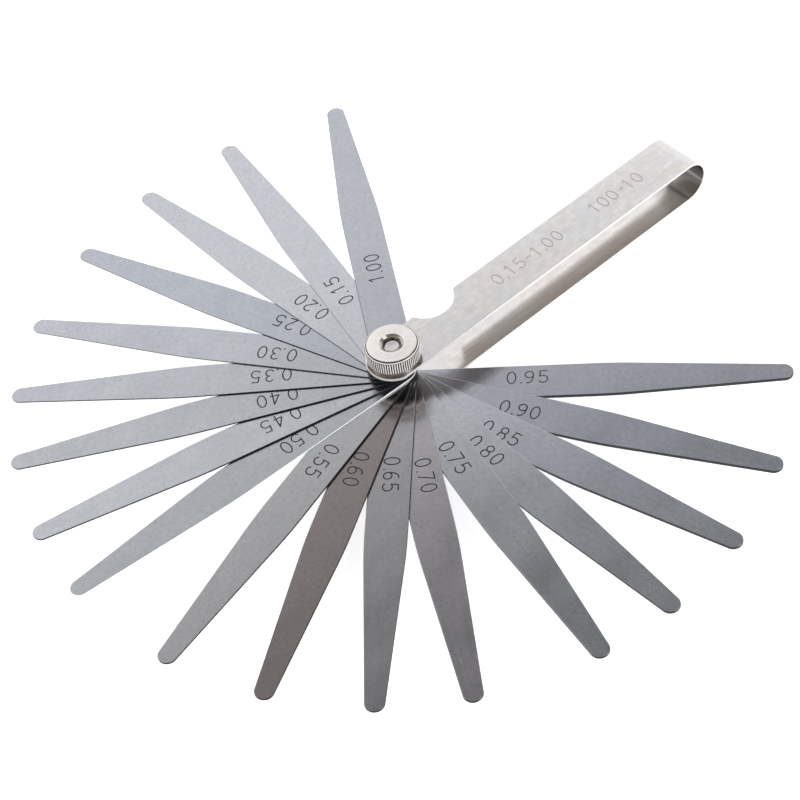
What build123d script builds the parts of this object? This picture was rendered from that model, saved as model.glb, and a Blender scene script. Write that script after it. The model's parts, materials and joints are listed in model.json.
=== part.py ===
from build123d import *
import os

# A feeler gauge: spring steel leaves of stepped thickness, fanned out on one pivot screw that
# also closes the holder, a nickel-plated strip folded round into two cheeks. A knurled thumb nut
# clamps the stack.
#
# Frame: the origin is on the pivot axis, at the flat underside of the screw's head, which the
# gauge rests on. +Z is up the pivot axis. The holder runs along +X. All sizes are millimetres.

# Leaves
leaf_length = 100.0         # overall, from the round pivot end to the tip
leaf_width = 10.0
taper_start = 52.5          # from the pivot axis to where the sides begin to narrow
taper_blend = 150.0         # radius that eases each side into its taper
tip_width = 4.6             # across the sides where the tip's arc begins
tip_bulge = 1.9             # how far the tip's arc stands out past its two ends
top_leaf = 1.00             # the thickest leaf lies on top of the stack
thinnest_leaf = 0.15        # the others follow below it, from this one down
leaf_step = 0.05            # from each leaf's thickness to the next
leaves_below_top = 17

# How far each leaf is turned from the one above it, and the first from the holder, in degrees
fan_steps = [59, 19, 16, 15, 16, 14, 13, 14, 12, 18, 15, 15, 13, 18, 12, 14, 15, 18]

# Holder
sheet = 0.8                 # thickness of the folded strip
strip_width = 13.2
cheek_end_radius = 7.0      # round end of each cheek, about the pivot axis
scoop_position = 18.4       # thumb scoop in the cheeks' edge, from the pivot axis
scoop_radius = 6.9
scoop_depth = 4.5
scoop_corner = 0.8          # rounding where the scoop meets the straight edge

# Pivot screw
screw_diameter = 4.0        # plain shank, with the thread's outside diameter at its upper end
screw_end_chamfer = 0.2
head_diameter = 9.0
head_height = 1.0
head_chamfer = 0.3
neck_shoulder = 0.6         # the neck's radius over the shank's; its two flats stop it turning
neck_flat_shoulder = 0.1    # the same, at the flats

# Thumb nut
nut_diameter = 13.6         # over the crests of the knurl
nut_height = 5.2
nut_face_diameter = 12.2    # flat top face, inside the chamfer
nut_chamfer_height = 0.35
nut_boss_diameter = 11.2    # plain seat under the knurl
nut_boss_height = 1.3
knurl_count = 72
knurl_depth = 0.3
countersink_diameter = 5.9
countersink_depth = 0.95
screw_end_below_face = 1.0  # the screw's end lies this far under the nut's top face

# Clearances
leaf_gap = 0.02             # between neighbours in the stack, and under the nut
pivot_clearance = 0.05      # radial, of every round hole round the screw
neck_clearance = 0.05       # all round the neck
neck_recess = 0.1           # the neck stops this far below the holder's inner face
tip_clearance = 0.2         # from a folded leaf's tip to the start of the holder's bend

# Worked out from the sizes above
leaf_thicknesses = [top_leaf] + [thinnest_leaf + leaf_step * i for i in range(leaves_below_top)]
leaf_reach = leaf_length - leaf_width / 2           # from the pivot axis to the tip
pocket_height = sum(leaf_thicknesses) + leaf_gap * (len(leaf_thicknesses) + 1)
holder_height = pocket_height + 2 * sheet
bend_start = leaf_reach + tip_clearance
lower_inner_face = head_height + sheet
upper_inner_face = lower_inner_face + pocket_height
holder_top = head_height + holder_height
nut_seat = holder_top + leaf_gap
screw_radius = screw_diameter / 2
hole_radius = screw_radius + pivot_clearance
neck_diameter = screw_diameter + 2 * neck_shoulder
neck_flats = screw_diameter + 2 * neck_flat_shoulder


def corners_at(sketch, axis, place, reach=0.001):
    """The sketch's corners whose place along an axis is the one given."""
    return sketch.vertices().filter_by_position(axis, place - reach, place + reach)


def two_flats(diameter, across):
    """A disc with two parallel flats, which run along X."""
    return Circle(diameter / 2) & Rectangle(diameter, across)


def leaf_outline():
    """One leaf along +X: parallel sides, a long taper and a rounded tip."""
    half = leaf_width / 2
    tip_half = tip_width / 2
    tip_arc_start = leaf_reach - tip_bulge
    outline = Polyline((0, half), (taper_start, half), (tip_arc_start, tip_half))
    outline += ThreePointArc((tip_arc_start, tip_half), (leaf_reach, 0), (tip_arc_start, -tip_half))
    outline += Polyline((tip_arc_start, -tip_half), (taper_start, -half), (0, -half))
    outline += ThreePointArc((0, -half), (-half, 0), (0, half))
    face = make_face(outline)
    face = fillet(corners_at(face, Axis.X, taper_start), taper_blend)
    return face - Circle(hole_radius)


def leaf(outline, thickness, underside, turn):
    return Pos(0, 0, underside) * Rot(0, 0, turn) * extrude(outline, thickness)


def cheek_outline():
    """The strip seen from above: a round end at the pivot and a thumb scoop in its rear edge."""
    half = strip_width / 2
    far_end = bend_start + holder_height
    strip = Pos(far_end / 2, 0) * Rectangle(far_end, strip_width)
    round_end = Circle(cheek_end_radius) & Rectangle(2 * cheek_end_radius, strip_width)
    scoop = Pos(scoop_position, half - scoop_depth + scoop_radius) * Circle(scoop_radius)
    outline = strip + round_end - scoop
    rear_edge = corners_at(outline, Axis.Y, half)
    scoop_ends = rear_edge.filter_by_position(
        Axis.X, scoop_position - scoop_radius, scoop_position + scoop_radius,
    )
    return fillet(scoop_ends, scoop_corner)


def fold_profile(height):
    """The outline of a folded strip of that height seen from the side, open towards the pivot."""
    middle = head_height + holder_height / 2
    length = bend_start + cheek_end_radius
    straight = Pos((bend_start - cheek_end_radius) / 2, middle) * Rectangle(length, height)
    return straight + Pos(bend_start, middle) * Circle(height / 2)


def holder():
    profile = fold_profile(holder_height) - fold_profile(pocket_height)
    fold = extrude(Plane.XZ * profile, strip_width, both=True)
    plan = extrude(Pos(0, 0, head_height) * cheek_outline(), holder_height)
    round_hole = Pos(0, 0, upper_inner_face - leaf_gap) * Circle(hole_radius)
    keyed_hole = Pos(0, 0, head_height) * two_flats(
        neck_diameter + 2 * neck_clearance, neck_flats + 2 * neck_clearance,
    )
    return (fold & plan) - extrude(round_hole, 2 * sheet) - extrude(keyed_hole, sheet)


def pivot_screw():
    head = extrude(Circle(head_diameter / 2), head_height)
    head = chamfer(head.edges().group_by(Axis.Z)[0], head_chamfer)
    neck_top = lower_inner_face - neck_recess
    neck = extrude(two_flats(neck_diameter, neck_flats), neck_top)
    end = nut_seat + nut_height - screw_end_below_face
    shank = extrude(Circle(screw_radius), end)
    shank = chamfer(shank.edges().group_by(Axis.Z)[-1], screw_end_chamfer)
    return head + neck + shank


def knurl_outline():
    """Straight ribs all round: a crest and a root in turn."""
    crest = nut_diameter / 2
    root = crest - knurl_depth
    half_pitch = 180 / knurl_count
    points = []
    for i in range(knurl_count):
        points.append(Vector(crest, 0).rotate(Axis.Z, 2 * i * half_pitch))
        points.append(Vector(root, 0).rotate(Axis.Z, (2 * i + 1) * half_pitch))
    return make_face(Polyline(*points, close=True))


def thumb_nut():
    radius = nut_diameter / 2
    face_radius = nut_face_diameter / 2
    rim_base = nut_seat + nut_boss_height
    face = nut_seat + nut_height
    boss = extrude(Pos(0, 0, nut_seat) * Circle(nut_boss_diameter / 2), nut_boss_height)
    rim = extrude(Pos(0, 0, rim_base) * knurl_outline(), nut_height - nut_boss_height)
    envelope = Polyline(
        (0, nut_seat), (radius, nut_seat), (radius, face - nut_chamfer_height),
        (face_radius, face), (0, face), close=True,
    )
    turned = revolve(Plane.XZ * make_face(envelope), Axis.Z)
    bore = extrude(Pos(0, 0, nut_seat) * Circle(hole_radius), nut_height)
    countersink = Pos(0, 0, face - countersink_depth / 2) * Cone(
        hole_radius, countersink_diameter / 2, countersink_depth,
    )
    return ((boss + rim) & turned) - bore - countersink


pieces = {"holder": holder(), "pivot_screw": pivot_screw(), "thumb_nut": thumb_nut()}
outline = leaf_outline()
upper_face = upper_inner_face
turn = 0
for thickness, step in zip(leaf_thicknesses, fan_steps):
    underside = upper_face - leaf_gap - thickness
    turn += step
    name = f"blade_{thickness:.2f}".replace(".", "_")
    pieces[name] = leaf(outline, thickness, underside, turn)
    upper_face = underside

os.makedirs("parts", exist_ok=True)
for name, piece in pieces.items():
    export_step(piece, f"parts/{name}.step")
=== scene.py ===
import bpy
import json
import math
from mathutils import Matrix, Vector
from mathutils.geometry import delaunay_2d_cdt


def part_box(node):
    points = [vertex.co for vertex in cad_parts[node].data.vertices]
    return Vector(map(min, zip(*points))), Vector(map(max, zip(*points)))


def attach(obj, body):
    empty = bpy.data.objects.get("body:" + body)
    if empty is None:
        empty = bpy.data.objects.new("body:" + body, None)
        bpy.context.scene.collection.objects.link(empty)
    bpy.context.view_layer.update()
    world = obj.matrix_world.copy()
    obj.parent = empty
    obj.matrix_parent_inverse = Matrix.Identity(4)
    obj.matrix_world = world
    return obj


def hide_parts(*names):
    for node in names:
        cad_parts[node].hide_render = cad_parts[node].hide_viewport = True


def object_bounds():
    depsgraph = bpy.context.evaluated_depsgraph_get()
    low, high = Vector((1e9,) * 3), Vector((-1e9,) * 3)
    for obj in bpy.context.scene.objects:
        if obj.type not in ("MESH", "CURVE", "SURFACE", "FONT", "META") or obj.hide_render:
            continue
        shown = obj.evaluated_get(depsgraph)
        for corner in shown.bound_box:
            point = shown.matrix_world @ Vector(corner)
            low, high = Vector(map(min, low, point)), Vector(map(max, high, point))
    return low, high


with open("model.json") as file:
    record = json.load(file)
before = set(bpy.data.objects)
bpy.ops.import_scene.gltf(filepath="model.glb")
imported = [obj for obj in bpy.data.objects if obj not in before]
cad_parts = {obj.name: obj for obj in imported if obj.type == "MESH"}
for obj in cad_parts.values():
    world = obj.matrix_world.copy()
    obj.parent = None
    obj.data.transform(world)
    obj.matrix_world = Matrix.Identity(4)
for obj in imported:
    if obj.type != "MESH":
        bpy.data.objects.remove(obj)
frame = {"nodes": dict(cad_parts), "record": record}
cad_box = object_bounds()
joints = {joint["name"]: joint for joint in frame["record"]["behaviour"]["joints"]}
MM = 0.001

# Sizes of the replaced pieces, in millimetres. Heights come from the frame.
LEAF_REACH = 95.0            # from the pivot axis to a leaf's tip
LEAF_WIDTH = 10.0
TAPER_START = 52.5
TAPER_BLEND = 150.0
TIP_WIDTH = 4.6
TIP_BULGE = 1.9
HOLE_RADIUS = 2.05
SHEET = 0.8
STRIP_WIDTH = 13.2
CHEEK_END_RADIUS = 7.0
SCOOP_POSITION = 18.4
SCOOP_RADIUS = 6.9
SCOOP_DEPTH = 4.5
SCOOP_CORNER = 0.8
BEND_START = 95.2
SCREW_RADIUS = 2.0
HEAD_CHAMFER = 0.3
NECK_DIAMETER = 5.2
NECK_FLATS = 4.2
NECK_RECESS = 0.1
NECK_CLEARANCE = 0.05
NUT_FACE_RADIUS = 6.1
NUT_BOSS_RADIUS = 5.6
NUT_BOSS_HEIGHT = 1.3
KNURL_COUNT = 72
KNURL_DEPTH = 0.3
COUNTERSINK_RADIUS = 2.95
COUNTERSINK_DEPTH = 0.95
THREAD_PITCH = 0.7
THREAD_DEPTH = 0.38

# Looks the CAD leaves out, in millimetres.
LEAF_EDGE = 0.14             # rounding of a thick leaf's edges
LEAF_EDGE_SHARE = 0.3        # of its thickness, on a leaf too thin for that
STRIP_EDGE = 0.1
BEND_STEPS = 48
SEAT_EDGE = 0.12             # rounding at the foot of the nut's plain seat
SEAT_RELIEF = 0.35           # chamfer of the nut's hole where it meets the cheek
RIB_STEPS = 8                # round the nut, to each rib
RIB_SINK = 0.1               # a rib's lower slope starts this far in from the grooves
RIB_FOOT = 0.25              # and is this high
RIB_DROP = 0.15              # its upper slope ends this far in from the grooves
RIB_TOP = 0.3                # and is this high
GROOVE_SHARE = 0.6           # of the knurl's depth, darkened from the bottom up with dirt and painted shade
RIM_STEP = 0.3               # from the nut's face down to the top of its knurl
RIM_LEDGE = 0.08             # the ledge between them lies this far under the knurl's top
RIM_LEDGE_WIDTH = 0.1
RIM_EDGE = 0.12
MOUTH_EDGE = 0.05            # rounding of the countersink's mouth
LIP_DROP = 0.42              # of the countersink's depth, from the face to the thread's lip
LIP_EDGE = 0.1
LIP_REACH = 0.38             # from the hole's radius to the lip's outer edge
THROAT_DROP = 0.9            # of the countersink's depth, from the face to the thread's start
THROAT_REACH = 0.2
NUT_THREAD_DEPTH = 0.25
SCREW_THREAD_START = 0.1     # above the nut's seat
SCREW_THREAD_END = 0.4       # below the screw's end
SCREW_END_EDGE = 0.22        # rounding between the screw's side and the slope round its end
SCREW_END_DROP = 0.27        # from the end down to where that rounding starts
SCREW_END_SLOPE = 0.35       # from the screw's side in to its flat end
SCREW_END_DISH = 0.03
THREAD_RINGS = 10            # to each turn
THREAD_LAND = 0.12           # of the pitch, left at the crest
THREAD_FLANKS = 0.76         # of the pitch, sloping
HEAD_EDGE = 0.05
MIDDLE_RADIUS = 0.02         # of the smallest ring, at the middle of the screw's ends
SHADE_INSIDE_FROM = 88.0       # along the strip, where the painted shade inside the fold begins
SHADE_INSIDE_TO = 100.0        # and where that painted shade is full
MARK_HEIGHT = 3.7            # the etched thickness on each leaf
MARK_START = 26.2
MARK_STROKE = 0.34
MARK_DEPTH = 0.02
MARK_SHIFTS = {              # how far each mark strays, along its leaf and across it
    "1.00": (0.5, -0.3), "0.15": (-2.0, 0.0), "0.20": (-1.5, 0.0), "0.25": (-1.3, -0.6),
    "0.30": (-1.3, 0.7), "0.35": (-0.8, 0.2), "0.40": (-1.6, 0.5), "0.45": (-0.3, -0.2),
    "0.50": (-0.8, 0.8), "0.55": (0.6, -0.2), "0.60": (-0.3, 0.0), "0.65": (0.0, 0.3),
    "0.70": (1.2, 1.1), "0.75": (-1.6, -0.5), "0.80": (0.9, 0.3), "0.85": (-0.3, -0.8),
    "0.90": (0.2, -0.1), "0.95": (0.2, 1.2),
}
STAMPS = [("0.15-1.00", 3.6, 33.5), ("100-10", 3.6, 67.0)]
STAMP_MIDDLE = 0.6
STAMP_STROKE = 0.32
STAMP_DEPTH = 0.04


# ---------------------------------------------------------------- camera and stage

def add_camera():
    """A long lens, looking down at the pivot with the holder running up to the right."""
    azimuth, elevation, roll = math.radians(-33.3), math.radians(49.0), math.radians(-10.3)
    distance, pivot_above_aim = 482.5 * MM, 2.3 * MM
    flat = Vector((math.sin(azimuth), -math.cos(azimuth), 0))
    back = flat * math.cos(elevation) + Vector((0, 0, math.sin(elevation)))
    level_right = Vector((math.cos(azimuth), math.sin(azimuth), 0))
    level_up = back.cross(level_right)
    right = level_right * math.cos(roll) + level_up * math.sin(roll)
    up = back.cross(right)
    pivot = Vector((0, 0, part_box("holder")[0].z))
    aim = pivot - up * pivot_above_aim
    data = bpy.data.cameras.new("camera")
    data.lens = 88.5
    data.sensor_width = 36
    data.clip_start, data.clip_end = 0.01, 20
    camera = bpy.data.objects.new("camera", data)
    turned = Matrix((right, up, back)).transposed().to_4x4()
    camera.matrix_world = Matrix.Translation(aim + back * distance) @ turned
    bpy.context.scene.collection.objects.link(camera)
    bpy.context.scene.camera = camera


# ---------------------------------------------------------------- outlines, in millimetres

def arc(centre, radius, start, end, steps):
    """Points of an arc from one angle to another, in degrees, both ends included."""
    points = []
    for i in range(steps + 1):
        angle = math.radians(start + (end - start) * i / steps)
        points.append((centre[0] + radius * math.cos(angle), centre[1] + radius * math.sin(angle)))
    return points


def circle(radius, steps):
    return arc((0, 0), radius, 0, 360 * (steps - 1) / steps, steps - 1)


def mirrored(points):
    """The points' mirror images across the X axis, in reverse order."""
    return [(x, -y) for x, y in reversed(points)]


def leaf_outline():
    """One leaf along +X, counter-clockwise from its round pivot end."""
    half, tip_half = LEAF_WIDTH / 2, TIP_WIDTH / 2
    tip_start = LEAF_REACH - TIP_BULGE
    slope = math.degrees(math.atan((half - tip_half) / (tip_start - TAPER_START)))
    ease = TAPER_BLEND * math.tan(math.radians(slope / 2))
    blend_centre = (TAPER_START - ease, TAPER_BLEND - half)
    blend = arc(blend_centre, TAPER_BLEND, -90, -90 + slope, 8)
    tip_radius = (tip_half ** 2 + TIP_BULGE ** 2) / (2 * TIP_BULGE)
    spread = math.degrees(math.asin(tip_half / tip_radius))
    tip = arc((LEAF_REACH - tip_radius, 0), tip_radius, -spread, spread, 28)
    lower_side = blend + tip[:14]
    pivot_end = arc((0, 0), half, 90, 270, 40)
    return pivot_end + lower_side + [tip[14]] + mirrored(lower_side)


def two_flats(radius, across, steps):
    """A disc with two flats along X, counter-clockwise."""
    angle = math.degrees(math.asin(across / 2 / radius))
    return arc((0, 0), radius, -angle, angle, steps) + arc((0, 0), radius, 180 - angle, 180 + angle, steps)


def scoop(place):
    """The thumb scoop in the edge at +Y, with its two rounded corners, from high X to low X."""
    centre_y = STRIP_WIDTH / 2 - SCOOP_DEPTH + SCOOP_RADIUS
    corner_y = STRIP_WIDTH / 2 - SCOOP_CORNER
    reach = SCOOP_RADIUS + SCOOP_CORNER
    offset = math.sqrt(reach ** 2 - (centre_y - corner_y) ** 2)
    tilt = math.degrees(math.asin((centre_y - corner_y) / reach))
    first = arc((place + offset, corner_y), SCOOP_CORNER, 90, 180 - tilt, 6)
    hollow = arc((place, centre_y), SCOOP_RADIUS, -tilt, tilt - 180, 40)
    last = arc((place - offset, corner_y), SCOOP_CORNER, tilt, 90, 6)
    return first + hollow[1:-1] + last


# ---------------------------------------------------------------- lettering: numerals only

def numeral_strokes():
    """Single-stroke numerals, drawn in a box 0.6 wide and 1 high: the pen's path for each."""
    ellipse = [(0.30 + 0.28 * x, 0.5 + 0.5 * y) for x, y in circle(1.0, 28)]
    ellipse.append(ellipse[0])
    upper = arc((0.30, 0.76), 0.24, -90, 270, 20)
    lower = arc((0.30, 0.27), 0.27, -90, 270, 20)
    six_stem = [(0.47, 0.97), (0.36, 0.99), (0.22, 0.92), (0.10, 0.74), (0.04, 0.50), (0.03, 0.28)]
    six = [six_stem, arc((0.30, 0.28), 0.27, 180, 540, 20)]
    return {
        "0": [ellipse],
        "1": [[(0.14, 0.80), (0.34, 1.0), (0.34, 0.0)]],
        "2": [arc((0.29, 0.74), 0.25, 160, -30, 12) + [(0.04, 0.0), (0.57, 0.0)]],
        "3": [arc((0.27, 0.76), 0.24, 150, -90, 14), arc((0.27, 0.26), 0.27, 90, -150, 14)],
        "4": [[(0.44, 0.0), (0.44, 1.0), (0.02, 0.28), (0.58, 0.28)]],
        "5": [[(0.53, 1.0), (0.13, 1.0)] + arc((0.29, 0.31), 0.31, 133, -145, 18)],
        "6": six,
        "7": [[(0.03, 1.0), (0.56, 1.0), (0.20, 0.0)]],
        "8": [upper, lower],
        "9": [[(0.60 - x, 1.0 - y) for x, y in stroke] for stroke in six],
        ".": [[(0.02, 0.02), (0.06, 0.02)], [(0.04, 0.0), (0.04, 0.04)]],
        "-": [[(0.08, 0.47), (0.42, 0.47)]],
    }


NUMERALS = numeral_strokes()
ADVANCE = {".": 0.27, "-": 0.62}
DIGIT_ADVANCE = 0.90


def lettering(text, height, start, middle):
    """The pen's paths for a line of numerals along +X, from start, centred on middle across."""
    paths, cursor = [], start
    for letter in text:
        for stroke in NUMERALS[letter]:
            paths.append([(cursor + x * height, middle + (y - 0.5) * height) for x, y in stroke])
        cursor += ADVANCE.get(letter, DIGIT_ADVANCE) * height
    return paths


def heading(first, second):
    return Vector((second[0] - first[0], second[1] - first[1])).normalized()


def smooth_runs(path):
    """A pen's path cut at its corners, with no point twice over."""
    points = [p for i, p in enumerate(path) if i == 0 or math.dist(p, path[i - 1]) > 1e-6]
    runs, start = [], 0
    for i in range(1, len(points) - 1):
        bend = heading(points[i - 1], points[i]).angle(heading(points[i], points[i + 1]))
        if bend > math.radians(40):
            runs.append(points[start:i + 1])
            start = i
    runs.append(points[start:])
    return runs


def pen_shapes(path, width):
    """Convex polygons that together cover a pen's path: a bar for each step, a disc at each end."""
    radius = width / 2
    shapes = []
    for run in smooth_runs(path):
        closed = math.dist(run[0], run[-1]) < 1e-6
        sides = []
        for i, (x, y) in enumerate(run):
            before = run[i - 1] if i else run[-2] if closed else None
            after = run[i + 1] if i + 1 < len(run) else run[1] if closed else None
            into = heading(before, (x, y)) if before else heading((x, y), after)
            out = heading((x, y), after) if after else into
            along = (into + out).normalized()
            reach = radius / along.dot(into)
            sides.append(((x + along.y * reach, y - along.x * reach),
                          (x - along.y * reach, y + along.x * reach)))
        for (right, left), (next_right, next_left) in zip(sides, sides[1:]):
            shapes.append([right, next_right, next_left, left])
        if not closed:
            for x, y in (run[0], run[-1]):
                shapes.append([(x + px, y + py) for px, py in circle(radius, 12)])
    return shapes


# ---------------------------------------------------------------- plates: leaves and the strip

class Builder:
    """Gathers vertices and faces, in millimetres, and makes the mesh.

    Each vertex also has a place in the map "grain": first across the grain, then along it.
    """

    def __init__(self):
        self.points = []
        self.grain = []
        self.faces = []
        self.materials = []
        self.sharp = set()

    def point(self, x, y, z, grain=None):
        self.points.append((x, y, z))
        self.grain.append(grain or (y + z, x))
        return len(self.points) - 1

    def ring(self, outline, z):
        return [self.point(x, y, z) for x, y in outline]

    def face(self, corners, material=0):
        self.faces.append(corners)
        self.materials.append(material)

    def crease(self, ring):
        """Keeps a closed ring of edges sharp."""
        for first, second in zip(ring, ring[1:] + ring[:1]):
            self.sharp.add((min(first, second), max(first, second)))

    def band(self, lower, upper, material=0):
        """Faces between two closed rings of as many points, facing out on a counter-clockwise pair."""
        count = len(lower)
        for i in range(count):
            j = (i + 1) % count
            self.face((lower[i], lower[j], upper[j], upper[i]), material)

    def mesh(self, name, smooth_angle, place=None):
        data = bpy.data.meshes.new(name)
        moved = [place(p) for p in self.points] if place else self.points
        data.from_pydata([tuple(c * MM for c in p) for p in moved], [], self.faces)
        data.polygons.foreach_set("material_index", self.materials)
        data.polygons.foreach_set("use_smooth", [True] * len(self.faces))
        data.set_sharp_from_angle(angle=math.radians(smooth_angle))
        creases = data.attributes.get("sharp_edge") or data.attributes.new("sharp_edge", "BOOLEAN", "EDGE")
        for edge in data.edges:
            if (min(edge.vertices), max(edge.vertices)) in self.sharp:
                creases.data[edge.index].value = True
        grain = data.uv_layers.new(name="grain")
        for loop in data.loops:
            u, v = self.grain[loop.vertex_index]
            grain.data[loop.index].uv = (u * MM, v * MM)
        return data


def inset(outline, distance):
    """The outline moved inwards by a distance that is small beside its curves."""
    count = len(outline)
    moved = []
    for i in range(count):
        before, here, after = outline[i - 1], outline[i], outline[(i + 1) % count]
        first = Vector((here[0] - before[0], here[1] - before[1])).normalized()
        second = Vector((after[0] - here[0], after[1] - here[1])).normalized()
        inwards = Vector((-first.y - second.y, first.x + second.x)).normalized()
        reach = distance / max(0.5, inwards.dot(Vector((-first.y, first.x))))
        moved.append((here[0] + inwards.x * reach, here[1] + inwards.y * reach))
    return moved


def cap(builder, ring, holes, z, facing, material, marks=(), depth=0.0, crossings=()):
    """Closes a plate's face inside its ring, round its holes, with the marks sunk into it."""
    known = list(ring)
    for hole in holes:
        known += hole
    coords = [Vector(builder.points[i][:2]) for i in known]
    sizes = [len(ring)] + [len(hole) for hole in holes] + [len(shape) for shape in marks]
    for shape in marks:
        coords += [Vector(p) for p in shape]
    faces, first = [], 0
    for size in sizes:
        faces.append(list(range(first, first + size)))
        first += size
    made = delaunay_2d_cdt(coords, list(crossings), faces, 0, 1e-5)
    out, triangles, out_from, faces_from = made[0], made[2], made[3], made[5]
    surface, sunk = {}, {}

    def at_surface(v):
        if v not in surface:
            rim = [known[i] for i in out_from[v] if i < len(known)]
            surface[v] = rim[0] if rim else builder.point(out[v].x, out[v].y, z)
        return surface[v]

    def at_floor(v):
        if v not in sunk:
            sunk[v] = builder.point(out[v].x, out[v].y, z - facing * depth)
        return sunk[v]

    def add(corners, material):
        builder.face(tuple(corners) if facing > 0 else tuple(corners[::-1]), material)

    inked = set()
    for triangle, source in zip(triangles, faces_from):
        if 0 not in source or any(1 <= f <= len(holes) for f in source):
            continue
        if any(f > len(holes) for f in source):
            add([at_floor(v) for v in triangle], 1)
            inked.update(zip(triangle, triangle[1:] + triangle[:1]))
        else:
            add([at_surface(v) for v in triangle], material)
    for a, b in sorted(inked):
        if (b, a) not in inked:
            add([at_floor(b), at_floor(a), at_surface(a), at_surface(b)], 1)


def plate(outline, holes, thickness, edge, above=(), below=(), depth=0.0, crossings=(), coats=(0, 0, 0)):
    """A flat plate about z = 0 with rounded edges, plain holes and marks sunk in either face.

    The coats are the materials of the upper face, the lower face and the edges. Each face's
    material reaches round the first part of its rounded edge.
    """
    builder = Builder()
    half = thickness / 2
    profile = []
    for i in range(4):
        angle = math.radians(30 * i)
        profile.append((edge * (1 - math.sin(angle)), half - edge * (1 - math.cos(angle))))
    profile += [(d, -z) for d, z in reversed(profile)]
    rings = [builder.ring(inset(outline, d) if d > 1e-9 else outline, z) for d, z in profile]
    between = [coats[2]] * (len(rings) - 3)
    for upper, lower, material in zip(rings, rings[1:], [coats[0]] + between + [coats[1]]):
        builder.band(lower, upper, material)
    builder.crease(rings[0])
    builder.crease(rings[-1])
    tops, bottoms = [], []
    for hole in holes:
        tops.append(builder.ring(hole, half))
        bottoms.append(builder.ring(hole, -half))
        builder.band(tops[-1], bottoms[-1], coats[2])
    cap(builder, rings[0], tops, half, 1, coats[0], above, depth, crossings)
    cap(builder, rings[-1], bottoms, -half, -1, coats[1], below, depth, crossings)
    return builder


def leaf(thickness, text):
    """One leaf with its thickness etched near the pivot."""
    marks = []
    along, across = MARK_SHIFTS[text]
    for path in lettering(text, MARK_HEIGHT, MARK_START + along, across):
        marks += pen_shapes(path, MARK_STROKE)
    edge = min(LEAF_EDGE, LEAF_EDGE_SHARE * thickness)
    hole = circle(HOLE_RADIUS, 48)
    return plate(leaf_outline(), [hole], thickness, edge, above=marks, depth=MARK_DEPTH, coats=(0, 0, 2))


# ---------------------------------------------------------------- the holder: a strip folded round

def fold_sizes():
    """The lower cheek's middle height, the bend's radius to the sheet's middle, the strip's length."""
    low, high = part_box("holder")
    lower = low.z / MM + SHEET / 2
    radius = (high.z / MM - SHEET / 2 - lower) / 2
    return lower, radius, 2 * BEND_START + math.pi * radius


def folded(point):
    """Where a point of the flat strip lies once it is folded; its +Z side is the inside."""
    lower, radius, length = fold_sizes()
    along, across, height = point
    if along <= BEND_START:
        return (along, across, lower + height)
    if along >= length - BEND_START:
        return (length - along, across, lower + 2 * radius - height)
    angle = (along - BEND_START) / radius
    arm = radius - height
    return (BEND_START + arm * math.sin(angle), across, lower + radius - arm * math.cos(angle))


def strip():
    """The flat strip before folding: a round end, a scoop, the bend, a scoop and a round end."""
    length = fold_sizes()[2]
    half = STRIP_WIDTH / 2
    corner = math.degrees(math.asin(half / CHEEK_END_RADIUS))
    stations = []
    for i in range(BEND_STEPS + 1):
        stations.append(BEND_START + (length - 2 * BEND_START) * i / BEND_STEPS)
    near_end = arc((0, 0), CHEEK_END_RADIUS, 180 - corner, 180 + corner, 28)
    far_end = arc((length, 0), CHEEK_END_RADIUS, -corner, corner, 28)
    outline = near_end + [(s, -half) for s in stations] + far_end
    outline += scoop(length - SCOOP_POSITION) + [(s, half) for s in reversed(stations)]
    outline += scoop(SCOOP_POSITION)
    front = len(near_end)
    back = front + len(stations) + len(far_end) + len(scoop(SCOOP_POSITION)) + len(stations) - 1
    crossings = [(front + i, back - i) for i in range(len(stations))]
    keyed = two_flats(NECK_DIAMETER / 2 + NECK_CLEARANCE, NECK_FLATS + 2 * NECK_CLEARANCE, 16)
    round_hole = [(length + x, y) for x, y in circle(HOLE_RADIUS, 48)]
    marks = []
    for text, height, start in STAMPS:
        for path in lettering(text, height, start, STAMP_MIDDLE):
            for shape in pen_shapes(path, STAMP_STROKE):
                marks.append([(length - x, y) for x, y in reversed(shape)])
    return plate(outline, [keyed, round_hole], SHEET, STRIP_EDGE, below=marks, depth=STAMP_DEPTH,
                 crossings=crossings, coats=(2, 0, 3))


# ---------------------------------------------------------------- turned pieces

def turned(builder, profile, steps):
    """Rings about Z joined in order; each has a radius, or one for each step, a height, and
    whether the surface has an edge there."""
    rings, travel, last = [], 0.0, None
    for radius, height, edged in profile:
        radii = radius if isinstance(radius, list) else [radius] * steps
        here = (sum(radii) / steps, height)
        travel += math.dist(here, last) if last else 0.0
        last = here
        ring = []
        for i, reach in enumerate(radii):
            angle = 2 * math.pi * i / steps
            grain = (travel, angle * 5)
            ring.append(builder.point(reach * math.cos(angle), reach * math.sin(angle), height, grain))
        rings.append(ring)
        if edged:
            builder.crease(ring)
    for lower, upper in zip(rings, rings[1:]):
        builder.band(lower, upper)
    return rings


def coat(builder, inner, outer, low, high, material):
    """Gives a material to the faces between two radii and two heights."""
    for i, corners in enumerate(builder.faces):
        middle = [sum(builder.points[c][axis] for c in corners) / len(corners) for axis in range(3)]
        if low < middle[2] < high and inner < math.hypot(middle[0], middle[1]) < outer:
            builder.materials[i] = material


def edges(*places):
    return [(radius, height, True) for radius, height in places]


def corner(radius, height, size, start, end, steps=4):
    """Rings round a small corner of a turned profile, with the surfaces beside it kept flat."""
    points = arc((radius, height), size, start, end, steps)
    return [(x, z, i in (0, steps)) for i, (x, z) in enumerate(points)]


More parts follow.
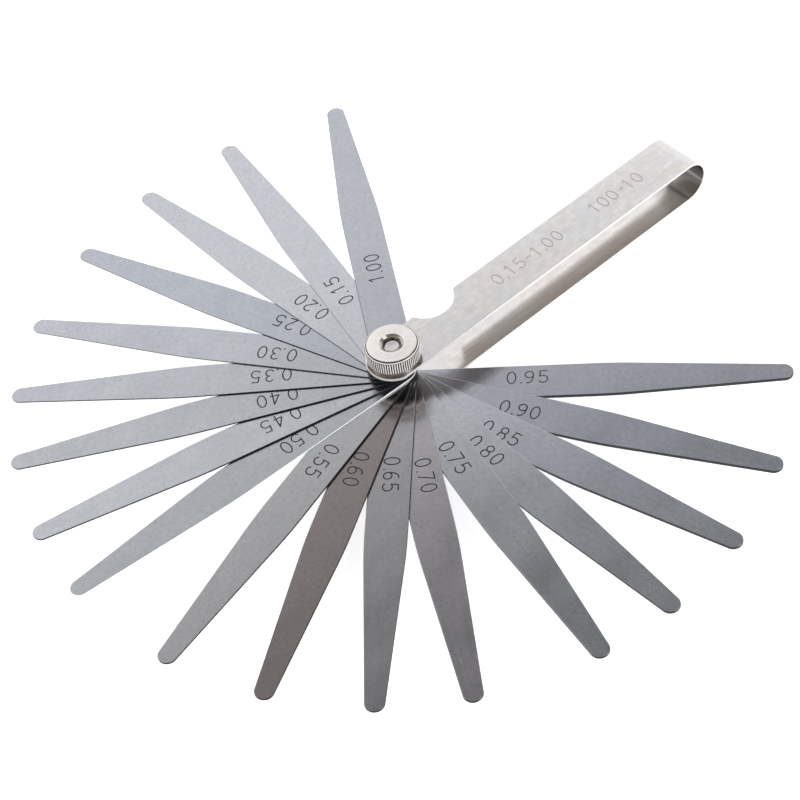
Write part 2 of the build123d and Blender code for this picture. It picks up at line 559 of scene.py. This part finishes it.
def thread(crest, depth, bottom, top, steps):
    """Rings of a right-hand thread cut to that depth; a negative depth is cut outwards.

    The groove fades in and out over a quarter of the thread's length at each end.
    """
    rings = []
    count = round((top - bottom) / THREAD_PITCH * THREAD_RINGS)
    for i in range(count + 1):
        height = bottom + (top - bottom) * i / count
        fade = min(1.0, 4 * i / count, 4 * (count - i) / count)
        radii = []
        for step in range(steps):
            share = (height / THREAD_PITCH - step / steps) % 1.0
            cut = min(1.0, max(0.0, (1 - THREAD_LAND - abs(2 * share - 1)) / THREAD_FLANKS))
            radii.append(crest - depth * fade * cut)
        rings.append((radii, height, False))
    return rings


def nut():
    """The thumb nut: plain seat, straight knurl with round ribs, stepped rim, countersunk thread."""
    low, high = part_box("thumb_nut")
    seat, face, crest = low.z / MM, high.z / MM, (high.x - low.x) / 2 / MM
    root = crest - KNURL_DEPTH
    steps = KNURL_COUNT * RIB_STEPS
    rib = [abs(math.cos(math.pi * i / RIB_STEPS)) for i in range(steps)]

    def ribs(limit, height, edged=False):
        return ([min(limit, root + KNURL_DEPTH * share) for share in rib], height, edged)

    knurl_low, knurl_high = seat + NUT_BOSS_HEIGHT, face - RIM_STEP
    ledge = knurl_high - RIM_LEDGE
    profile = edges((HOLE_RADIUS + SEAT_RELIEF, seat))
    profile += corner(NUT_BOSS_RADIUS - SEAT_EDGE, seat + SEAT_EDGE, SEAT_EDGE, -90, 0)
    profile += edges((NUT_BOSS_RADIUS, knurl_low))
    for i in range(4):
        limit = root - RIB_SINK + (KNURL_DEPTH + RIB_SINK) * i / 3
        profile.append(ribs(limit, knurl_low + RIB_FOOT * i / 3, True))
    for i in range(5):
        limit = crest - (KNURL_DEPTH + RIB_DROP) * i / 4
        profile.append(ribs(limit, knurl_high - RIB_TOP + RIB_TOP * i / 4, True))
    profile += edges((NUT_FACE_RADIUS + RIM_LEDGE_WIDTH, ledge), (NUT_FACE_RADIUS, ledge))
    profile += corner(NUT_FACE_RADIUS - RIM_EDGE, face - RIM_EDGE, RIM_EDGE, 0, 90)
    profile += corner(COUNTERSINK_RADIUS + MOUTH_EDGE, face - MOUTH_EDGE, MOUTH_EDGE, 90, 140, 3)
    lip = face - LIP_DROP * COUNTERSINK_DEPTH
    profile += edges((HOLE_RADIUS + LIP_REACH, lip))
    profile += corner(HOLE_RADIUS + LIP_REACH - LIP_EDGE, lip - LIP_EDGE, LIP_EDGE, 80, 10, 3)
    profile += edges((HOLE_RADIUS + THROAT_REACH, face - THROAT_DROP * COUNTERSINK_DEPTH))
    thread_low = seat + SEAT_RELIEF
    profile += thread(HOLE_RADIUS, -NUT_THREAD_DEPTH, thread_low, face - COUNTERSINK_DEPTH, steps)[::-1]
    builder = Builder()
    rings = turned(builder, profile, steps)
    builder.band(rings[-1], rings[0])

    # Satin ribs; dirt and painted shade in the grooves; painted shade beside the face, in the countersink
    # and in its thread.
    # Each call gives the radii and the heights between which the middle of a face lies.
    low_limit, high_limit, floor = knurl_low + 0.01, knurl_high - 0.12, seat + 0.2
    coat(builder, root - 0.2, crest + 0.1, low_limit, knurl_high - 0.01, 2)
    coat(builder, root - 0.2, root + GROOVE_SHARE * KNURL_DEPTH, low_limit, high_limit, 1)
    coat(builder, NUT_FACE_RADIUS - 0.05, NUT_FACE_RADIUS + 0.25, high_limit, face - RIM_EDGE, 1)
    coat(builder, 0, COUNTERSINK_RADIUS, floor, face - 0.08, 3)
    coat(builder, 0, HOLE_RADIUS + 0.26, floor, face, 1)
    return builder


def screw():
    """The pivot screw: low head, neck with two flats, plain shank and a threaded end."""
    low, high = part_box("pivot_screw")
    bottom, end, head_radius = low.z / MM, high.z / MM, (high.x - low.x) / 2 / MM
    head_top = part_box("holder")[0].z / MM
    neck_top = head_top + SHEET - NECK_RECESS
    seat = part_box("thumb_nut")[0].z / MM
    steps = 96
    flats = []
    for i in range(steps):
        slope = abs(math.sin(2 * math.pi * i / steps))
        flats.append(min(NECK_DIAMETER / 2, NECK_FLATS / 2 / max(slope, 0.01)))
    chamfer_top = bottom + HEAD_CHAMFER
    inner = head_radius - HEAD_EDGE
    profile = edges((MIDDLE_RADIUS, bottom), (inner - HEAD_CHAMFER, bottom))
    profile += edges((inner, chamfer_top), (head_radius, chamfer_top + HEAD_EDGE))
    profile += corner(inner, head_top - HEAD_EDGE, HEAD_EDGE, 0, 90, 2)
    profile += edges((flats, head_top), (flats, neck_top), (SCREW_RADIUS, neck_top), (SCREW_RADIUS, seat))
    thread_low, thread_high = seat + SCREW_THREAD_START, end - SCREW_THREAD_END
    profile += thread(SCREW_RADIUS, THREAD_DEPTH, thread_low, thread_high, steps)
    profile += corner(SCREW_RADIUS - SCREW_END_EDGE, end - SCREW_END_DROP, SCREW_END_EDGE, 0, 60)
    profile += edges((SCREW_RADIUS - SCREW_END_SLOPE, end), (MIDDLE_RADIUS, end - SCREW_END_DISH))
    builder = Builder()
    rings = turned(builder, profile, steps)
    builder.face(tuple(rings[0][::-1]))
    builder.face(tuple(rings[-1]))
    return builder


# ---------------------------------------------------------------- materials

def node(tree, kind, inputs, **settings):
    """A new node. An input is a value to set or another node's output to link."""
    made = tree.nodes.new(kind)
    for key, value in settings.items():
        setattr(made, key, value)
    for key, value in inputs.items():
        if isinstance(value, bpy.types.NodeSocket):
            tree.links.new(value, made.inputs[key])
        else:
            made.inputs[key].default_value = value
    return made


def shader(name, metallic, roughness, anisotropy):
    """A material, its node tree and its main shader. Anisotropy follows the map of the grain."""
    material = bpy.data.materials.new(name)
    material.use_nodes = True
    tree = material.node_tree
    surface = tree.nodes["Principled BSDF"]
    surface.inputs["Metallic"].default_value = metallic
    surface.inputs["Roughness"].default_value = roughness
    surface.inputs["Anisotropic"].default_value = anisotropy
    if anisotropy > 0:
        across = node(tree, "ShaderNodeTangent", {}, direction_type="UV_MAP", uv_map="grain")
        tree.links.new(across.outputs["Tangent"], surface.inputs["Tangent"])
    return material, tree, surface


def grain_map(tree):
    """Places across and along the grain, in metres."""
    return node(tree, "ShaderNodeUVMap", {}, uv_map="grain").outputs["UV"]


def solid_map(tree):
    """Places in the object, in metres."""
    return node(tree, "ShaderNodeTexCoord", {}).outputs["Object"]


def noise(tree, place, scales, shift, detail=2.0, roughness=0.5):
    """Noise from 0 to 1 with its own scale along each axis, in waves to the metre."""
    placed = node(tree, "ShaderNodeMapping", {
        "Vector": place, "Location": (shift, 0.7 * shift, 0.4 * shift), "Scale": scales,
    })
    made = node(tree, "ShaderNodeTexNoise", {
        "Vector": placed.outputs["Vector"], "Scale": 1.0, "Detail": detail, "Roughness": roughness,
    })
    return made.outputs["Fac"]


def remap(tree, value, low, high, to_low, to_high, kind="LINEAR"):
    made = node(tree, "ShaderNodeMapRange", {
        "Value": value, "From Min": low, "From Max": high, "To Min": to_low, "To Max": to_high,
    }, interpolation_type=kind)
    return made.outputs["Result"]


def mixed(tree, share, first, second):
    made = node(tree, "ShaderNodeMix", {0: share, 6: first, 7: second}, data_type="RGBA")
    return made.outputs[2]


def summed(tree, first, second):
    return node(tree, "ShaderNodeMath", {0: first, 1: second}, operation="ADD").outputs[0]


def dented(tree, surface, height, distance, strength=1.0):
    made = node(tree, "ShaderNodeBump", {"Height": height, "Distance": distance, "Strength": strength})
    tree.links.new(made.outputs["Normal"], surface.inputs["Normal"])


def scaled(colour, factor):
    return tuple(c * factor for c in colour) + (1.0,)


def leaf_steel(name, colour, shift):
    """Ground spring steel: fine grain along the leaf, faint blotches and handling smears."""
    material, tree, surface = shader(name, 1.0, 0.25, 0.55)
    grain, place = grain_map(tree), solid_map(tree)
    lines = noise(tree, grain, (3200, 70, 1), shift, 4.0)
    fine = noise(tree, grain, (11000, 260, 1), shift + 5, 2.0)
    blotches = noise(tree, place, (160, 160, 160), shift + 9, 3.0)
    smears = noise(tree, place, (45, 90, 90), shift + 13, 2.0)
    tone = mixed(tree, lines, scaled(colour, 0.98), scaled(colour, 1.02))
    cool = tuple(c * s for c, s in zip(colour, (0.925, 0.935, 0.955))) + (1.0,)
    worn = mixed(tree, remap(tree, blotches, 0.42, 0.62, 0.0, 0.7), tone, cool)
    mottle = noise(tree, place, (900, 900, 900), shift + 21, 4.0, 0.7)
    dull = mixed(tree, remap(tree, mottle, 0.38, 0.62, 0.0, 1.0), worn, scaled(colour, 0.90))
    specks = remap(tree, noise(tree, place, (1300, 1300, 1300), shift + 17, 2.0), 0.64, 0.70, 0.0, 0.4)
    tree.links.new(mixed(tree, specks, dull, scaled(colour, 0.6)), surface.inputs["Base Color"])
    gloss = summed(tree, remap(tree, smears, 0.3, 0.7, 0.0, 0.05), remap(
        tree, lines, 0.3, 0.7, 0.185, 0.215))
    tree.links.new(gloss, surface.inputs["Roughness"])
    dented(tree, surface, fine, 0.0000002)
    return material


def leaf_edge(name, tone, metallic, shift):
    """The cut edge of a leaf: rougher than its faces, with cutting lines across it; its dark tone is
    painted shade and a light tone a painted highlight.
    """
    material, tree, surface = shader(name, metallic, 0.4, 0.0)
    place = solid_map(tree)
    cuts = noise(tree, place, (2500, 2500, 300), shift, 3.0)
    bright, dark = scaled((1.0, 1.0, 1.02), 1.15 * tone), scaled((1.0, 1.0, 1.02), 0.85 * tone)
    tree.links.new(mixed(tree, cuts, dark, bright), surface.inputs["Base Color"])
    tree.links.new(remap(tree, cuts, 0.3, 0.7, 0.34, 0.46), surface.inputs["Roughness"])
    dented(tree, surface, cuts, 0.000002)
    return material


def etched(name, tone):
    """An etched and blackened numeral: dark, matt and slightly uneven."""
    material, tree, surface = shader(name, 0.35, 0.55, 0.0)
    place = solid_map(tree)
    pits = noise(tree, place, (5000, 5000, 5000), 3, 3.0)
    dark, light = scaled((1.0, 1.0, 1.05), 0.7 * tone), scaled((1.0, 1.0, 1.05), 1.5 * tone)
    tree.links.new(mixed(tree, pits, dark, light), surface.inputs["Base Color"])
    tree.links.new(remap(tree, pits, 0.3, 0.7, 0.45, 0.65), surface.inputs["Roughness"])
    dented(tree, surface, pits, 0.000004)
    return material


def nickel(name, colour, cool, roughness, shift, anisotropy=0.0, mottling=1.0, shaded_inside=False,
           metallic=1.0):
    """Nickel plate: warm, faintly mottled, with fine scratches along the grain.

    With shaded_inside, the plate darkens from just before the bend to the strip's far end: painted shade
    inside the fold and under the upper cheek.
    """
    material, tree, surface = shader(name, metallic, roughness, anisotropy)
    grain, place = grain_map(tree), solid_map(tree)
    clouds = noise(tree, place, (70, 110, 110), shift, 4.0, 0.6)
    mottle = noise(tree, place, (420, 420, 420), shift + 4, 4.0, 0.65)
    scratches = noise(tree, grain, (2600, 90, 1), shift + 8, 3.0)
    patchy = remap(tree, mottle, 0.35, 0.65, 0.0, mottling)
    warm = mixed(tree, patchy, scaled(colour, 1.0), scaled(colour, 0.93))
    tone = mixed(tree, remap(tree, clouds, 0.42, 0.62, 0.0, 0.75 * mottling), warm, scaled(cool, 1.0))
    # Painted shade: the colour darkens along the strip into the fold and stays dark to the far end.
    if shaded_inside:
        along = node(tree, "ShaderNodeSeparateXYZ", {0: grain}).outputs["Y"]
        reach = remap(tree, along, SHADE_INSIDE_FROM * MM, SHADE_INSIDE_TO * MM, 0.0, 0.85)
        tone = mixed(tree, reach, tone, (0.15, 0.135, 0.12, 1))
    tree.links.new(tone, surface.inputs["Base Color"])
    blur = summed(tree, remap(tree, mottle, 0.3, 0.7, 0.0, 0.05), remap(
        tree, scratches, 0.35, 0.65, roughness - 0.02, roughness + 0.03))
    tree.links.new(blur, surface.inputs["Roughness"])
    dented(tree, surface, summed(tree, mottle, remap(tree, scratches, 0, 1, 0, 0.4)), 0.0000018)
    return material


# ---------------------------------------------------------------- pieces

def add_piece(name, data, materials, node_name, body):
    """An object at the origin that stands for a CAD node and moves with a body."""
    for material in materials:
        data.materials.append(material)
    piece = bpy.data.objects.new(name, data)
    bpy.context.scene.collection.objects.link(piece)
    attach(piece, body)
    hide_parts(node_name)


STEEL = (0.525, 0.54, 0.565)
# Painted reflection: each leaf's steel is made lighter and darker to stand in for the brightness it
# mirrors, along with some tone of the leaf's own.
LEAF_REFLECTION_TINTS = {
    "1.00": (0.84, 0.84, 0.86), "0.15": (1.0, 0.985, 0.99), "0.20": (0.98, 0.975, 0.975),
    "0.25": (0.85, 0.86, 0.88), "0.30": (0.95, 0.95, 0.955), "0.35": (0.97, 0.97, 0.97),
    "0.40": (0.99, 0.99, 0.985), "0.45": (1.11, 1.10, 1.10), "0.50": (0.98, 0.99, 0.97),
    "0.55": (0.97, 0.95, 0.91), "0.60": (0.63, 0.54, 0.50), "0.65": (0.86, 0.815, 0.795),
    "0.70": (0.96, 0.90, 0.88), "0.75": (1.08, 1.09, 1.08), "0.80": (1.15, 1.17, 1.17),
    "0.85": (1.19, 1.18, 1.22), "0.90": (1.02, 1.02, 1.06), "0.95": (1.03, 1.02, 1.06),
}
MARK_TONES = {"0.95": 0.08}
EDGE_SHADE_AND_HIGHLIGHT = {               # the cut edge's painted tone (dark for painted shade, light for a painted highlight) and how metallic it is
    "0.50": (0.95, 0.25), "0.30": (0.2, 1.0), "0.15": (0.2, 1.0), "0.20": (0.2, 1.0),
}


def add_leaves():
    leaves = [name for name in sorted(frame["nodes"]) if name.startswith("blade_")]
    for order, node_name in enumerate(leaves):
        text = node_name.removeprefix("blade_").replace("_", ".")
        low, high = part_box(node_name)
        turn = math.radians(-joints[node_name + "_swing"]["range_deg"][0])
        swung = Matrix.Translation((0, 0, (low.z + high.z) / 2 / MM)) @ Matrix.Rotation(turn, 4, "Z")
        builder = leaf((high.z - low.z) / MM, text)
        # Painted reflection, tinted into the leaf's steel.
        reflection_tint = LEAF_REFLECTION_TINTS.get(text, (1.0, 1.0, 1.0))
        colour = tuple(c * t for c, t in zip(STEEL, reflection_tint))
        steel = leaf_steel("leaf_steel_" + text, colour, 3.1 * order)
        mark = etched("etched_mark_" + text, MARK_TONES.get(text, 0.03))
        name = node_name.replace("blade", "leaf")
        # Painted shade: unlisted cut edges are near black; leaf 0.50's light edge is a painted highlight.
        tone, metallic = EDGE_SHADE_AND_HIGHLIGHT.get(text, (0.05, 1.0))
        edge = leaf_edge("leaf_edge_shade_and_highlight_" + text, tone, metallic, 3.1 * order)
        data = builder.mesh(name, 35, place=lambda point: swung @ Vector(point))
        add_piece(name, data, [steel, mark, edge], node_name, node_name)


def add_holder():
    plated = nickel("nickel_strip", (0.735, 0.70, 0.665), (0.665, 0.67, 0.685), 0.16, 2.0, anisotropy=0.3)
    # Stamped strokes: a rougher finish, with a darker colour that is painted shade in the dents.
    shaded_stamp = nickel("nickel_stamp_shaded", (0.56, 0.54, 0.51), (0.52, 0.525, 0.53), 0.3, 6.0)
    # Painted light and shade: the inside is a lighter copy of the outside plate, darkened into the fold.
    inside = nickel("nickel_inside_painted_light_and_shade", (0.94, 0.885, 0.84), (0.88, 0.87, 0.86), 0.14, 23.0, anisotropy=0.3,
                    shaded_inside=True)
    sheared = nickel("nickel_sheared", (0.84, 0.81, 0.775), (0.82, 0.81, 0.80), 0.42, 29.0, metallic=0.45)
    data = strip().mesh("folded_strip", 12, place=folded)
    add_piece("folded_strip", data, [plated, shaded_stamp, inside, sheared], "holder", "holder")


def add_nut_and_screw():
    bright = nickel("nickel_bright", (0.80, 0.755, 0.715), (0.78, 0.75, 0.725), 0.13, 11.0, anisotropy=0.2,
                    mottling=0.4)
    dull = nickel("nickel_screw", (0.65, 0.61, 0.585), (0.61, 0.60, 0.585), 0.2, 17.0, anisotropy=0.2,
                  mottling=0.4)
    # Dark coat: dirt and painted shade in the knurl's grooves, painted shade under the rim and in the
    # thread.
    groove = nickel("nickel_groove_dirt_and_shade", (0.16, 0.13, 0.115), (0.13, 0.11, 0.10), 0.3, 31.0)
    ribs = nickel("nickel_ribs", (0.90, 0.86, 0.82), (0.88, 0.85, 0.83), 0.30, 37.0, mottling=0.4,
                  metallic=0.25)
    # Painted shade: the countersink is the nut's own nickel, darkened in its colour.
    sunk = nickel("nickel_countersink_shaded", (0.47, 0.43, 0.385), (0.43, 0.41, 0.39), 0.12, 41.0, mottling=0.6)
    add_piece("knurled_nut", nut().mesh("knurled_nut", 28), [bright, groove, ribs, sunk], "thumb_nut",
              "thumb_nut")
    add_piece("screw", screw().mesh("screw", 28), [dull], "pivot_screw", "holder")


# ---------------------------------------------------------------- floor and light

def add_floor():
    data = bpy.data.meshes.new("floor")
    reach, height = 8.0, cad_box[0].z
    corners = [(-reach, -reach), (reach, -reach), (reach, reach), (-reach, reach)]
    data.from_pydata([(x, y, height) for x, y in corners], [], [(0, 1, 2, 3)])
    floor = bpy.data.objects.new("floor", data)
    bpy.context.scene.collection.objects.link(floor)
    material, tree, surface = shader("white_card", 0.0, 0.9, 0.0)
    place = solid_map(tree)
    fibre = noise(tree, place, (900, 900, 900), 0.0, 2.0)
    paper = mixed(tree, fibre, (0.86, 0.86, 0.86, 1), (0.9, 0.9, 0.9, 1))
    tree.links.new(paper, surface.inputs["Base Color"])
    surface.inputs["Emission Color"].default_value = (1, 1, 1, 1)
    surface.inputs["Emission Strength"].default_value = 0.6
    data.materials.append(material)


FLAG_DIRECTION = (0.256, 0.394, 0.883)   # a dark flag high up ahead of the camera


def add_world():
    """Studio surroundings: a bright sweep low down ahead of the camera, dim overhead and behind."""
    world = bpy.data.worlds.new("studio")
    bpy.context.scene.world = world
    world.use_nodes = True
    tree = world.node_tree
    tree.nodes.clear()
    direction = node(tree, "ShaderNodeTexCoord", {}).outputs["Generated"]
    ahead = (0.549, 0.836, 0.0)
    right = (0.836, -0.549, 0.0)
    height = node(tree, "ShaderNodeSeparateXYZ", {0: direction}).outputs["Z"]

    def towards(axis):
        made = node(tree, "ShaderNodeVectorMath", {0: direction, 1: axis}, operation="DOT_PRODUCT")
        return made.outputs["Value"]

    slope = {0: towards(right), 1: 0.28, 2: height}
    tilted = node(tree, "ShaderNodeMath", slope, operation="MULTIPLY_ADD").outputs[0]
    low = remap(tree, tilted, 0.735, 0.80, 1.0, 0.0, "SMOOTHSTEP")
    front = remap(tree, towards(ahead), -0.25, 0.35, 0.0, 1.0, "SMOOTHSTEP")
    share = node(tree, "ShaderNodeMath", {0: low, 1: front}, operation="MULTIPLY").outputs[0]
    shade = remap(tree, towards(FLAG_DIRECTION), 0.90, 0.975, 0.0, 1.0, "SMOOTHSTEP")
    room = mixed(tree, shade, (0.32, 0.32, 0.33, 1), (0.21, 0.21, 0.215, 1))
    colour = mixed(tree, share, room, (1.2, 1.2, 1.23, 1))
    background = node(tree, "ShaderNodeBackground", {"Color": colour, "Strength": 1.0})
    node(tree, "ShaderNodeOutputWorld", {"Surface": background.outputs[0]})


def add_softbox(name, azimuth, elevation, distance, size, power, mirrored_in_steel=True):
    """A square soft light that faces the pivot; azimuth 0 is along +Y and 90 along +X.

    A fill that isn't mirrored in steel can't turn the leaves white in a view from its far side.
    """
    azimuth, elevation = math.radians(azimuth), math.radians(elevation)
    flat = Vector((math.sin(azimuth), math.cos(azimuth), 0)) * math.cos(elevation)
    towards = flat + Vector((0, 0, math.sin(elevation)))
    data = bpy.data.lights.new(name, "AREA")
    data.shape = "SQUARE"
    data.size = size
    data.energy = power
    light = bpy.data.objects.new(name, data)
    facing = towards.to_track_quat("Z", "Y").to_matrix().to_4x4()
    light.matrix_world = Matrix.Translation(towards * distance) @ facing
    light.visible_glossy = mirrored_in_steel
    bpy.context.scene.collection.objects.link(light)


add_camera()
add_world()
add_softbox("softbox_right", 151, 46, 0.9, 0.42, 1.05)
add_softbox("fill_left", -105, 17, 0.9, 0.45, 4.5, False)
add_softbox("fill_right", 168, 17, 0.9, 0.45, 4.5, False)
add_floor()
add_leaves()
add_holder()
add_nut_and_screw()
bpy.context.scene.view_settings.view_transform = "Standard"
